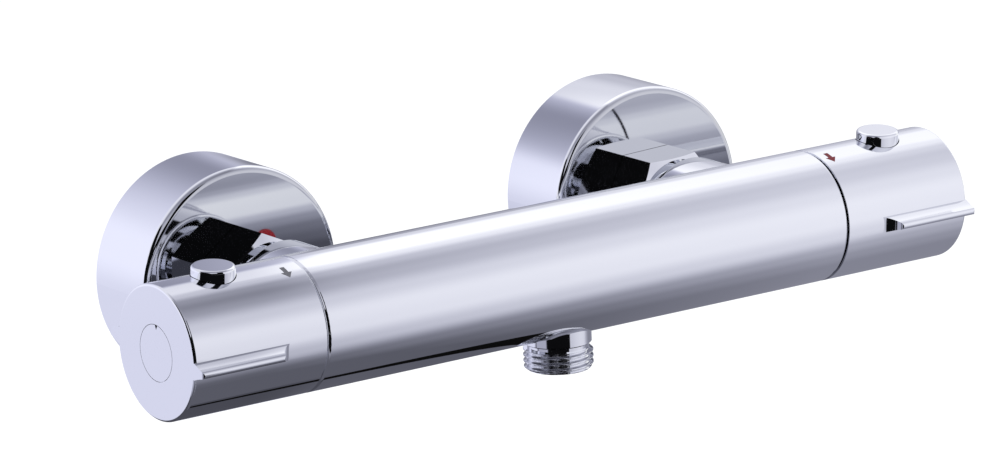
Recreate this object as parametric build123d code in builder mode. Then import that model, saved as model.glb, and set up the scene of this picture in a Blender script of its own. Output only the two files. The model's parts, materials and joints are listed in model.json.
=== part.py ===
from build123d import *
from math import cos, radians, sin, sqrt
import os

# Frame: the origin is on the wall plane, midway between the two wall inlets.
# +X runs along the bar from the hot end to the cold end, +Y goes into the wall, +Z is up.

# Overall sizes in millimetres
INLET_SPACING = 150.0
BAR_TO_WALL = 81.4
ECCENTRICITY = 7.5
BAR_RADIUS = 20.15
BODY_OVERHANG = 19.7
JOINT_GAP = 0.35
HANDLE_LENGTH = 45.35
HANDLE_TURN = 5.0
BODY_EDGE = 1.1

# Inlet bosses on the rear of the body
BOSS_RADIUS = 16.0
BOSS_REACH = 33.0
BOSS_EDGE = 1.2
BOSS_ROOT = 2.5
NIPPLE_THREAD = 12.0
NIPPLE_THREAD_LENGTH = 10.0
WATERWAY = 5.5

# Rosettes
ROSETTE_RADIUS = 34.15
ROSETTE_DEPTH = 26.8
ROSETTE_EDGE = 2.0
ROSETTE_WALL = 1.2
ROSETTE_COLLAR = 5.6
COLLAR_WALL = 2.0

# Eccentric unions: G3/4 towards the mixer, G1/2 into the wall
MIXER_THREAD = 13.22
MIXER_THREAD_LENGTH = 17.9
WALL_THREAD = 10.48
WALL_THREAD_LENGTH = 14.0
UNION_SHOULDER = 8.0
UNION_BORE = 7.5

# Union nuts
NUT_FLATS = 29.5
NUT_LENGTH = 15.4
NUT_GAP = 0.2
NUT_FACE_RADIUS = 14.2
NUT_CHAMFER = 1.6
NUT_SHOULDER = 4.0
NUT_CORNER = {-1: 35.0, 1: 2.0}
THREAD_CLEARANCE = 0.1

# Inlet nipples and what they hold
NECK_RADIUS = 11.8
NECK_CLEARANCE = 0.3
FLANGE_THICKNESS = 2.5
FLANGE_RADIUS = 13.0
SEAL_THICKNESS = 2.0
FILTER_HOLE = 1.2
FILTER_HOLES = 8
VALVE_BORE = 7.7
VALVE_LENGTH = 16.0
VALVE_WALL = 1.2
VALVE_SEAT = 4.4
VALVE_SEAT_THICKNESS = 1.6
VALVE_GUIDE = 2.0
VALVE_SPRING_TURNS = 3
VALVE_SPRING_WIRE = 0.3
POPPET_RADIUS = 5.4
POPPET_THICKNESS = 1.6
POPPET_LIFT = 2.5
STEM_RADIUS = 1.2
RUNNING = 0.1

# Hose outlet, G1/2
OUTLET_THREAD = 10.48
OUTLET_LENGTH = 9.85
OUTLET_COLLAR = 10.1
OUTLET_COLLAR_DROP = 2.0
OUTLET_COUNTERBORE = 3.2
OUTLET_GROOVE = 9.2
OUTLET_GROOVE_WIDTH = 1.4
OUTLET_CHAMFER = 1.0
OUTLET_TAIL = 8.0
OUTLET_TAIL_LENGTH = 6.8
OUTLET_HEX = 10.0
OUTLET_HEX_DEPTH = 8.0
OUTLET_BORE = 4.5

# Water channels in the body
GALLERY_RADIUS = 3.0
GALLERY_OFFSET = 15.0
MIXED_RADIUS = 5.5
MIXING_CHAMBER = 8.8
MIXING_CHAMBER_WALL = 4.0
RETURN_RADIUS = 3.0
RETURN_DROP = 13.3

# Hot mark on the rear of the body
MARK_RADIUS = 4.0
MARK_X = -44.0
MARK_DEPTH = 1.2

# Handles
HANDLE_WALL = 2.65
HANDLE_END_WALL = 4.0
HANDLE_EDGE = 0.8
JOINT_EDGE = 0.15
HUB_RADIUS = 7.5
HUB_START = 11.0
CAP_RADIUS = 8.34
CAP_THICKNESS = 2.4
CAP_CLEARANCE = 0.15
CAP_NOTCH = 1.4
CAP_SPIGOT = 1.6
CAP_SPIGOT_WALL = 1.2
RIB_LENGTH = 32.5
RIB_HEIGHT = 4.45
RIB_CREST = 2.0
RIB_BASE = 5.0
RIB_RUN_OUT = 4.6
RIB_NOSE = 0.9
SCREW_HEAD = 3.8
SCREW_HEAD_LENGTH = 3.0
SCREW_THREAD = 2.0
SCREW_LENGTH = 19.0
SCREW_CLEARANCE = 0.25
SCREW_KEY = 3.2
HUB_WEB = 9.0

# Push buttons, their arms and springs
BUTTON_REACH = 26.3
BUTTON_RADIUS = 6.5
BUTTON_HEIGHT = 2.8
BUTTON_EDGE = 0.9
BUTTON_CLEARANCE = 0.2
BUTTON_FLANGE = 1.4
BUTTON_FLANGE_THICKNESS = 1.2
BUTTON_SHOULDER = 3.2
SPRING_SEAT = 6.8
BUTTON_SPRING_RADIUS = 3.0
BUTTON_SPRING_TURNS = 5
SPRING_POCKET_DEPTH = 4.3
ARM_WIDTH = 5.0
ARM_THICKNESS = 2.5
NOSE_HEIGHT = 3.0
NOSE_LENGTH = 2.7
NOSE_GAP = 0.6
SPRING_PLAY = 0.8
SPRING_WIRE = 0.35

# Cartridge necks, spindles and stop rings, shared by both ends
NECK_OUTER = 9.0
NECK_END = 10.0
SPINDLE_RADIUS = 4.0
SPINDLE_END = 24.0
SPLINE_START = 10.5
SPLINE_TEETH = 16
SPLINE_DEPTH = 0.45
SPLINE_CLEARANCE = 0.06
STOP_RING_OUTER = 16.6
STOP_RING_WALL = 2.0
STOP_RING_START = 4.2
STOP_RING_DISC = 1.8
STOP_RING_RIM = 3.5
FLOW_RANGE = 90.0
COLDEST_TURN = 200.0
HOTTEST_TURN = 50.0
STOP_MARGIN = 14.0

# Flow cartridge at the left end
CHAMBER_RADIUS = 10.5
CHAMBER_DEPTH = 43.5
FLOW_HOUSING = 9.6
FLOW_THREAD_LENGTH = 12.0
FLOW_BORE = 8.2
FLOW_HEX = 24.0
FLOW_HEX_THICKNESS = 4.0
DISC_THICKNESS = 3.0
DISC_WINDOW = 2.3
DISC_SEAL_THICKNESS = 2.5
FOOT_RADIUS = 6.6
FOOT_THICKNESS = 3.0

# Mixing cartridge at the right end
MIXER_BORE = 15.5
MIXER_BORE_DEPTH = 42.7
NOSE_BORE = 11.0
NOSE_BORE_DEPTH = 59.7
MIXER_CLEARANCE = 0.2
MIXER_CAVITY = 12.3
PORT_GROOVE_DEPTH = 1.8
HOT_PORT = 37.0
COLD_PORT = 19.7
PORT_WIDTH = 6.0
PORT_WINDOW = 2.2
PORT_COUNT = 6
RING_NUT_RADIUS = 16.8
RING_NUT_DEPTH = 8.0
RING_NUT_PROUD = 3.0
RING_NUT_SLOTS = 4
RING_NUT_SLOT = 3.0
CARTRIDGE_LID = 5.0
MIXED_STEP = 2.0
SLIDE_RADIUS = 12.0
SLIDE_WALL = 1.5
SLIDE_WEB = 2.0
SLIDE_HOLE = 1.6
WAX_RADIUS = 4.5
WAX_LENGTH = 26.0
WAX_HEAD = 6.0
WAX_STEP = 0.8
WAX_NOSE = 1.5
SPINDLE_SCREW = 5.0
SPINDLE_SCREW_LENGTH = 9.0
SPINDLE_COLLAR = 2.5
SPINDLE_COLLAR_RIM = 2.0
SLEEVE_RADIUS = 8.0
SLEEVE_FLOOR = 1.5
SLEEVE_GAP = 1.2
SLEEVE_OVERTRAVEL = 4.0
RETURN_SPRING_WIRE = 0.5
RETURN_SPRING_TURNS = 4
RETURN_SPRING_ROOM = 1.1

# Rubber rings, and the small gaps between pieces that only rest on each other
RING_SECTION = 0.8
RING_SQUEEZE = 0.05
SEAT_GAP = 0.3

# Places worked out from the sizes above
BAR_Y = -BAR_TO_WALL
BAR_Z = -ECCENTRICITY
INLET_X = INLET_SPACING / 2
BODY_HALF = INLET_X + BODY_OVERHANG
BODY_LENGTH = 2 * BODY_HALF
NUT_BACK = -ROSETTE_DEPTH - NUT_GAP
NUT_FRONT = NUT_BACK - NUT_LENGTH
FLANGE_FRONT = NUT_FRONT + NUT_SHOULDER
FLANGE_BACK = FLANGE_FRONT + FLANGE_THICKNESS
SEAL_BACK = FLANGE_BACK + SEAL_THICKNESS
MIXER_THREAD_END = SEAL_BACK + MIXER_THREAD_LENGTH
BOSS_END = BAR_Y + BOSS_REACH
NIPPLE_END = BOSS_END - NIPPLE_THREAD_LENGTH
HANDLE_END = JOINT_GAP + HANDLE_LENGTH
CAVITY_RADIUS = BAR_RADIUS - HANDLE_WALL
CAP_SEAT = HANDLE_END - CAP_THICKNESS
SCREW_SEAT = SPINDLE_END + HUB_WEB
TAPPED_START = SCREW_SEAT - SCREW_LENGTH - 1
BUTTON_TOP = BAR_RADIUS + BUTTON_HEIGHT
FLANGE_TOP = BAR_RADIUS - BUTTON_SHOULDER
BUTTON_FOOT = FLANGE_TOP - BUTTON_FLANGE_THICKNESS
SPRING_TOP = BUTTON_FOOT + SPRING_POCKET_DEPTH
STOP_RIM_END = STOP_RING_START + STOP_RING_DISC + STOP_RING_RIM
NOSE_START = STOP_RING_START + STOP_RING_DISC + NOSE_GAP
BODY_BOTTOM = -BAR_RADIUS

TURN = radians(HANDLE_TURN)
BAR_AXIS = Axis((0, BAR_Y, BAR_Z), (1, 0, 0))
UP = {"body": (0, 0, 1), "handle": (0, -sin(TURN), cos(TURN))}
ENDS = {-1: "flow", 1: "temperature"}
INLETS = {-1: "hot", 1: "cold"}


def across_bar(side, distance, part="body"):
    """A plane across the bar, this far outward of the body's end. Its x axis is that part's up."""
    origin = (side * (BODY_HALF + distance), BAR_Y, BAR_Z)
    return Plane(origin=origin, x_dir=UP[part], z_dir=(side, 0, 0))


def along_bar(side):
    """The plane through the bar's axis: x is the distance outward of the body's end, y is up."""
    origin = (side * BODY_HALF, BAR_Y, BAR_Z)
    return Plane(origin=origin, x_dir=(side, 0, 0), z_dir=(0, -side, 0))


def along_inlet(side):
    """The plane through an inlet's axis: x is the distance from the wall, y is up."""
    origin = (side * INLET_X, 0, BAR_Z)
    return Plane(origin=origin, x_dir=(0, 1, 0), z_dir=(1, 0, 0))


def across_inlet(side, y, z=BAR_Z):
    """A plane across an inlet that faces the wall, with its y axis up."""
    return Plane(origin=(side * INLET_X, y, z), x_dir=(-1, 0, 0), z_dir=(0, 1, 0))


def button_plane(side, height):
    """A plane across a button, this far from the bar's axis, with x along the bar, outward."""
    up = UP["handle"]
    x = side * (BODY_HALF + BUTTON_REACH)
    origin = (x, BAR_Y + height * up[1], BAR_Z + height * up[2])
    return Plane(origin=origin, x_dir=(side, 0, 0), z_dir=up)


def inlet_axis(side):
    return Axis((side * INLET_X, 0, BAR_Z), (0, 1, 0))


def turned(plane, axis, outline, mode=Mode.ADD):
    """Turns a closed outline of (place along the axis, radius) corners about the axis."""
    with BuildSketch(plane) as profile:
        with BuildLine():
            Polyline(*outline, close=True)
        make_face()
    revolve(profile.sketch, axis=axis, mode=mode)


def bar_tube(side, start, end, outer, inner=0.0, mode=Mode.ADD):
    """A tube about the bar's axis, from start to end outward of the body's end."""
    with BuildSketch(across_bar(side, start)) as ring:
        Circle(outer)
        if inner:
            Circle(inner, mode=Mode.SUBTRACT)
    extrude(ring.sketch, amount=end - start, mode=mode)


def inlet_tube(side, start, end, outer, inner=0.0, mode=Mode.ADD):
    """A tube about an inlet's axis, from start to end in the distance from the wall."""
    with BuildSketch(across_inlet(side, start)) as ring:
        Circle(outer)
        if inner:
            Circle(inner, mode=Mode.SUBTRACT)
    extrude(ring.sketch, amount=end - start, mode=mode)


def ring_groove(plane, axis, place, surface):
    """The groove that a rubber ring lies in, cut below a turned surface."""
    half = RING_SECTION + RING_SQUEEZE
    floor = surface - 2 * RING_SECTION
    start = place - half
    end = place + half
    corners = [(start, floor), (end, floor), (end, surface + 1), (start, surface + 1)]
    turned(plane, axis, corners, Mode.SUBTRACT)


def rubber_ring(plane, axis, place, surface):
    """A rubber ring that fills its groove up to just under the turned surface around it."""
    with BuildSketch(plane) as section:
        with Locations((place, surface - RING_SECTION)):
            Circle(RING_SECTION - RING_SQUEEZE)
    revolve(section.sketch, axis=axis)


def splines(side, start, end, clearance=0.0, mode=Mode.ADD):
    """A toothed length of spindle, or with a clearance the socket that it fits."""
    tip = SPINDLE_RADIUS + clearance
    root = tip - SPLINE_DEPTH
    step = 180 / SPLINE_TEETH
    corners = []
    for tooth in range(2 * SPLINE_TEETH):
        reach = tip if tooth % 2 == 0 else root
        corners.append((reach * cos(radians(step * tooth)), reach * sin(radians(step * tooth))))
    with BuildSketch(across_bar(side, start, "handle")) as star:
        with BuildLine():
            Polyline(*corners, close=True)
        make_face()
    extrude(star.sketch, amount=end - start, mode=mode)


def coil(origin, direction, radius, wire, length, turns):
    """A round wire wound into a compression spring that stands on its origin."""
    with BuildPart() as spring:
        with BuildLine() as path:
            Helix(length / turns, length, radius, center=origin, direction=direction)
        with BuildSketch(path.line ^ 0):
            Circle(wire)
        sweep()
    return spring.part


def save(part, name):
    """Labels a finished piece and writes its own file."""
    part.label = name
    export_step(part, f"parts/{name}.step")


os.makedirs("parts", exist_ok=True)

# Valve body: a tube-like casting with two rear bosses, bored from both ends
with BuildPart() as valve_body:
    with BuildSketch(across_bar(1, -BODY_LENGTH)):
        Circle(BAR_RADIUS)
    extrude(amount=BODY_LENGTH)
    body_ends = valve_body.edges().filter_by(GeomType.CIRCLE)
    fillet(body_ends, BODY_EDGE)
    for side in (-1, 1):
        inlet_tube(side, BAR_Y, BOSS_END, BOSS_RADIUS)
    boss_roots = valve_body.edges().filter_by(GeomType.BSPLINE)
    fillet(boss_roots, BOSS_ROOT)
    boss_rims = valve_body.faces().sort_by(Axis.Y)[-2:].edges()
    fillet(boss_rims, BOSS_EDGE)
    for side in (-1, 1):
        inlet_tube(side, NIPPLE_END - 1, BOSS_END, NIPPLE_THREAD + THREAD_CLEARANCE, mode=Mode.SUBTRACT)

    # Left end: chamber of the flow cartridge, hot inlet and its gallery to the mixing cartridge
    bar_tube(-1, -CHAMBER_DEPTH, 0, CHAMBER_RADIUS, mode=Mode.SUBTRACT)
    hot_drill_end = BAR_Y + GALLERY_OFFSET - GALLERY_RADIUS / 2
    inlet_tube(-1, hot_drill_end, NIPPLE_END, WATERWAY, mode=Mode.SUBTRACT)
    gallery_end = BODY_HALF - MIXER_BORE_DEPTH + 1
    gallery_start = Plane(origin=(-INLET_X, BAR_Y + GALLERY_OFFSET, BAR_Z), z_dir=(1, 0, 0))
    with BuildSketch(gallery_start):
        Circle(GALLERY_RADIUS)
    extrude(amount=INLET_X + gallery_end, mode=Mode.SUBTRACT)

    # Right end: stepped bore of the mixing cartridge, its ring nut's thread and the cold inlet
    bar_tube(1, -NOSE_BORE_DEPTH, 0, NOSE_BORE, mode=Mode.SUBTRACT)
    bar_tube(1, -MIXER_BORE_DEPTH, 0, MIXER_BORE, mode=Mode.SUBTRACT)
    bar_tube(1, -RING_NUT_DEPTH, 0, RING_NUT_RADIUS + THREAD_CLEARANCE, mode=Mode.SUBTRACT)
    inlet_tube(1, BAR_Y, NIPPLE_END, WATERWAY, mode=Mode.SUBTRACT)

    # Middle: mixed water runs to the flow cartridge, and back below it to the outlet
    mixed_length = BODY_LENGTH - CHAMBER_DEPTH - NOSE_BORE_DEPTH
    bar_tube(1, -NOSE_BORE_DEPTH - mixed_length, -NOSE_BORE_DEPTH, MIXED_RADIUS, mode=Mode.SUBTRACT)
    chamber_start = MIXING_CHAMBER_WALL - NOSE_BORE_DEPTH - mixed_length
    bar_tube(1, chamber_start, -NOSE_BORE_DEPTH, MIXING_CHAMBER, mode=Mode.SUBTRACT)
    return_x = -BODY_HALF + CHAMBER_DEPTH / 2
    return_z = BAR_Z - RETURN_DROP
    with BuildSketch(Plane(origin=(return_x, BAR_Y, return_z), z_dir=(1, 0, 0))):
        Circle(RETURN_RADIUS)
    extrude(amount=-return_x, mode=Mode.SUBTRACT)
    with BuildSketch(Plane(origin=(return_x, BAR_Y, return_z), z_dir=(0, 0, 1))):
        Circle(RETURN_RADIUS)
    extrude(amount=RETURN_DROP - CHAMBER_RADIUS + 1, mode=Mode.SUBTRACT)

    # Outlet: counterbore for the nipple's collar, its threaded bore and the end of the return channel
    outlet_mouth = Plane(origin=(0, BAR_Y, BAR_Z + BODY_BOTTOM), z_dir=(0, 0, 1))
    with BuildSketch(outlet_mouth):
        Circle(OUTLET_COLLAR + THREAD_CLEARANCE)
    extrude(amount=OUTLET_COUNTERBORE, mode=Mode.SUBTRACT)
    with BuildSketch(outlet_mouth):
        Circle(OUTLET_TAIL + THREAD_CLEARANCE)
    extrude(amount=OUTLET_COUNTERBORE + OUTLET_TAIL_LENGTH, mode=Mode.SUBTRACT)

    # Recess of the hot mark in the rear
    mark_floor = Plane(origin=(MARK_X, BAR_Y + BAR_RADIUS - MARK_DEPTH, BAR_Z), z_dir=(0, 1, 0))
    with BuildSketch(mark_floor):
        Circle(MARK_RADIUS)
    extrude(amount=2 * MARK_DEPTH, mode=Mode.SUBTRACT)
save(valve_body.part, "valve_body")

# Hot mark: a round plug whose face follows the body
with BuildPart() as hot_mark:
    with BuildSketch(mark_floor):
        Circle(MARK_RADIUS - RING_SQUEEZE)
    extrude(amount=2 * MARK_DEPTH)
    with BuildSketch(Plane(origin=(MARK_X - BAR_RADIUS, BAR_Y, BAR_Z), z_dir=(1, 0, 0))):
        Circle(BAR_RADIUS)
    extrude(amount=2 * BAR_RADIUS, mode=Mode.INTERSECT)
save(hot_mark.part, "hot_mark")

# Hose outlet: a nipple with a collar, a groove and a pipe thread, tightened by the hexagon inside it
OUTLET_PLANE = Plane(origin=(0, BAR_Y, BAR_Z), x_dir=(0, 0, 1), z_dir=(0, 1, 0))
OUTLET_AXIS = Axis((0, BAR_Y, BAR_Z), (0, 0, 1))
outlet_end = BODY_BOTTOM - OUTLET_LENGTH
collar_end = BODY_BOTTOM - OUTLET_COLLAR_DROP
groove_end = collar_end - OUTLET_GROOVE_WIDTH
tail_end = BODY_BOTTOM + OUTLET_COUNTERBORE + OUTLET_TAIL_LENGTH
outlet_seal_place = tail_end - 2 * RING_SECTION - 1
with BuildPart() as hose_outlet:
    outline = [
        (tail_end, 0),
        (tail_end, OUTLET_TAIL),
        (BODY_BOTTOM + OUTLET_COUNTERBORE, OUTLET_TAIL),
        (BODY_BOTTOM + OUTLET_COUNTERBORE, OUTLET_COLLAR),
        (collar_end, OUTLET_COLLAR),
        (collar_end, OUTLET_GROOVE),
        (groove_end, OUTLET_GROOVE),
        (groove_end, OUTLET_THREAD),
        (outlet_end + OUTLET_CHAMFER, OUTLET_THREAD),
        (outlet_end, OUTLET_THREAD - OUTLET_CHAMFER),
        (outlet_end, 0),
    ]
    turned(OUTLET_PLANE, OUTLET_AXIS, outline)
    ring_groove(OUTLET_PLANE, OUTLET_AXIS, outlet_seal_place, OUTLET_TAIL)
    with BuildSketch(Plane(origin=(0, BAR_Y, BAR_Z + outlet_end), z_dir=(0, 0, 1))):
        RegularPolygon(OUTLET_HEX / 2, 6, major_radius=False)
    extrude(amount=OUTLET_HEX_DEPTH, mode=Mode.SUBTRACT)
    with BuildSketch(Plane(origin=(0, BAR_Y, BAR_Z + outlet_end), z_dir=(0, 0, 1))):
        Circle(OUTLET_BORE)
    extrude(amount=tail_end - outlet_end, mode=Mode.SUBTRACT)
save(hose_outlet.part, "hose_outlet")

with BuildPart() as outlet_seal:
    rubber_ring(OUTLET_PLANE, OUTLET_AXIS, outlet_seal_place, OUTLET_TAIL)
save(outlet_seal.part, "outlet_seal")

# Inlets: from the wall to the body, once for hot and once for cold
for side, inlet in INLETS.items():
    plane = along_inlet(side)
    axis = inlet_axis(side)

    # Eccentric union: the mixer's thread, an offset middle and the wall's thread
    with BuildPart() as eccentric_union:
        inlet_tube(side, SEAL_BACK, MIXER_THREAD_END, MIXER_THREAD)
        with BuildSketch(across_inlet(side, MIXER_THREAD_END)) as middle:
            with BuildSketch(mode=Mode.PRIVATE) as ends:
                Circle(MIXER_THREAD)
                with Locations((0, ECCENTRICITY)):
                    Circle(WALL_THREAD + 1)
            add(make_hull(ends.edges(), mode=Mode.PRIVATE))
        extrude(amount=-UNION_SHOULDER - MIXER_THREAD_END)
        with BuildSketch(across_inlet(side, -UNION_SHOULDER, 0)):
            Circle(WALL_THREAD)
        extrude(amount=UNION_SHOULDER + WALL_THREAD_LENGTH)
        with BuildSketch(across_inlet(side, -UNION_SHOULDER, 0)):
            Circle(UNION_BORE)
        extrude(amount=UNION_SHOULDER + WALL_THREAD_LENGTH, mode=Mode.SUBTRACT)
        inlet_tube(side, SEAL_BACK, -UNION_SHOULDER - 2, UNION_BORE, mode=Mode.SUBTRACT)
        with BuildSketch(across_inlet(side, -UNION_SHOULDER - 4, 0)):
            Circle(UNION_BORE)
        extrude(amount=4, mode=Mode.SUBTRACT)
    save(eccentric_union.part, f"{inlet}_eccentric_union")

    # Rosette: a deep cup with a rounded rim and a threaded collar behind its face
    with BuildPart() as rosette:
        inlet_tube(side, -ROSETTE_DEPTH, 0, ROSETTE_RADIUS)
        front_rim = rosette.faces().sort_by(Axis.Y)[0].edges()
        fillet(front_rim, ROSETTE_EDGE)
        offset(amount=-ROSETTE_WALL, openings=rosette.faces().sort_by(Axis.Y)[-1])
        hub_back = -ROSETTE_DEPTH + ROSETTE_COLLAR
        inlet_tube(side, -ROSETTE_DEPTH + ROSETTE_WALL, hub_back, MIXER_THREAD + COLLAR_WALL)
        hub_bore = MIXER_THREAD + THREAD_CLEARANCE
        inlet_tube(side, -ROSETTE_DEPTH, hub_back, hub_bore, mode=Mode.SUBTRACT)
    save(rosette.part, f"{inlet}_rosette")

    # Union nut: a hexagon chamfered in front, threaded over the union, with a shoulder round the neck
    with BuildPart() as union_nut:
        with BuildSketch(across_inlet(side, NUT_FRONT)):
            RegularPolygon(NUT_FLATS / 2, 6, major_radius=False, rotation=-NUT_CORNER[side])
        extrude(amount=NUT_LENGTH)
        corner_radius = NUT_FLATS / sqrt(3)
        chamfer_cut = [
            (NUT_FRONT - 1, NUT_FACE_RADIUS),
            (NUT_FRONT, NUT_FACE_RADIUS),
            (NUT_FRONT + NUT_CHAMFER, corner_radius),
            (NUT_FRONT + NUT_CHAMFER, corner_radius + 1),
            (NUT_FRONT - 1, corner_radius + 1),
        ]
        turned(plane, axis, chamfer_cut, Mode.SUBTRACT)
        inlet_tube(side, NUT_FRONT, NUT_BACK, NECK_RADIUS + NECK_CLEARANCE, mode=Mode.SUBTRACT)
        inlet_tube(side, FLANGE_FRONT, NUT_BACK, MIXER_THREAD + THREAD_CLEARANCE, mode=Mode.SUBTRACT)
    save(union_nut.part, f"{inlet}_union_nut")

    # Filter seal: a rubber washer with a perforated cone of mesh in its middle
    with BuildPart() as filter_seal:
        inlet_tube(side, FLANGE_BACK, SEAL_BACK, MIXER_THREAD - SEAT_GAP, UNION_BORE)
        inlet_tube(side, FLANGE_BACK, FLANGE_BACK + SEAL_THICKNESS / 2, UNION_BORE)
        with BuildSketch(across_inlet(side, FLANGE_BACK)):
            with PolarLocations(UNION_BORE * 2 / 3, FILTER_HOLES):
                Circle(FILTER_HOLE)
            Circle(FILTER_HOLE)
        extrude(amount=SEAL_THICKNESS, mode=Mode.SUBTRACT)
    save(filter_seal.part, f"{inlet}_filter_seal")

    # Inlet nipple: screwed into the boss, with a flange that the nut pulls on
    nipple_seal_place = NIPPLE_END + 2 * RING_SECTION
    with BuildPart() as inlet_nipple:
        inlet_tube(side, NIPPLE_END, BOSS_END, NIPPLE_THREAD)
        inlet_tube(side, BOSS_END, FLANGE_FRONT, NECK_RADIUS)
        inlet_tube(side, FLANGE_FRONT, FLANGE_BACK, FLANGE_RADIUS)
        ring_groove(plane, axis, nipple_seal_place, NIPPLE_THREAD)
        inlet_tube(side, NIPPLE_END, FLANGE_BACK, WATERWAY, mode=Mode.SUBTRACT)
        inlet_tube(side, FLANGE_BACK - VALVE_LENGTH, FLANGE_BACK, VALVE_BORE, mode=Mode.SUBTRACT)
    save(inlet_nipple.part, f"{inlet}_inlet_nipple")

    with BuildPart() as nipple_seal:
        rubber_ring(plane, axis, nipple_seal_place, NIPPLE_THREAD)
    save(nipple_seal.part, f"{inlet}_nipple_seal")

    # Non-return valve: a tube with a seat at the wall side and a spoked guide at the other
    valve_back = FLANGE_BACK
    valve_front = FLANGE_BACK - VALVE_LENGTH
    seat_front = valve_back - VALVE_SEAT_THICKNESS
    guide_radius = STEM_RADIUS + VALVE_WALL
    valve_inner = VALVE_BORE - RUNNING - VALVE_WALL
    with BuildPart() as check_valve:
        inlet_tube(side, valve_front, valve_back, VALVE_BORE - RUNNING, valve_inner)
        inlet_tube(side, seat_front, valve_back, VALVE_BORE - RUNNING, VALVE_SEAT)
        with BuildSketch(across_inlet(side, valve_front)):
            Circle(guide_radius)
            with PolarLocations(0, 3):
                with Locations((valve_inner / 2, 0)):
                    Rectangle(valve_inner, VALVE_WALL)
            Circle(STEM_RADIUS + RUNNING, mode=Mode.SUBTRACT)
        extrude(amount=VALVE_GUIDE)
    save(check_valve.part, f"{inlet}_check_valve")

    poppet_back = seat_front - RING_SQUEEZE
    poppet_front = poppet_back - POPPET_THICKNESS
    stem_end = valve_front + VALVE_GUIDE / 2
    with BuildPart() as check_poppet:
        inlet_tube(side, poppet_front, poppet_back, POPPET_RADIUS)
        inlet_tube(side, stem_end, poppet_front, STEM_RADIUS)
    save(check_poppet.part, f"{inlet}_check_poppet")

    spring_end = poppet_front - VALVE_SPRING_WIRE
    spring_start = valve_front + VALVE_GUIDE + POPPET_LIFT + VALVE_SPRING_WIRE + RUNNING
    check_spring = coil(
        (side * INLET_X, spring_start, BAR_Z),
        (0, 1, 0),
        guide_radius,
        VALVE_SPRING_WIRE,
        spring_end - spring_start,
        VALVE_SPRING_TURNS,
    )
    save(check_spring, f"{inlet}_check_spring")

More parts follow.
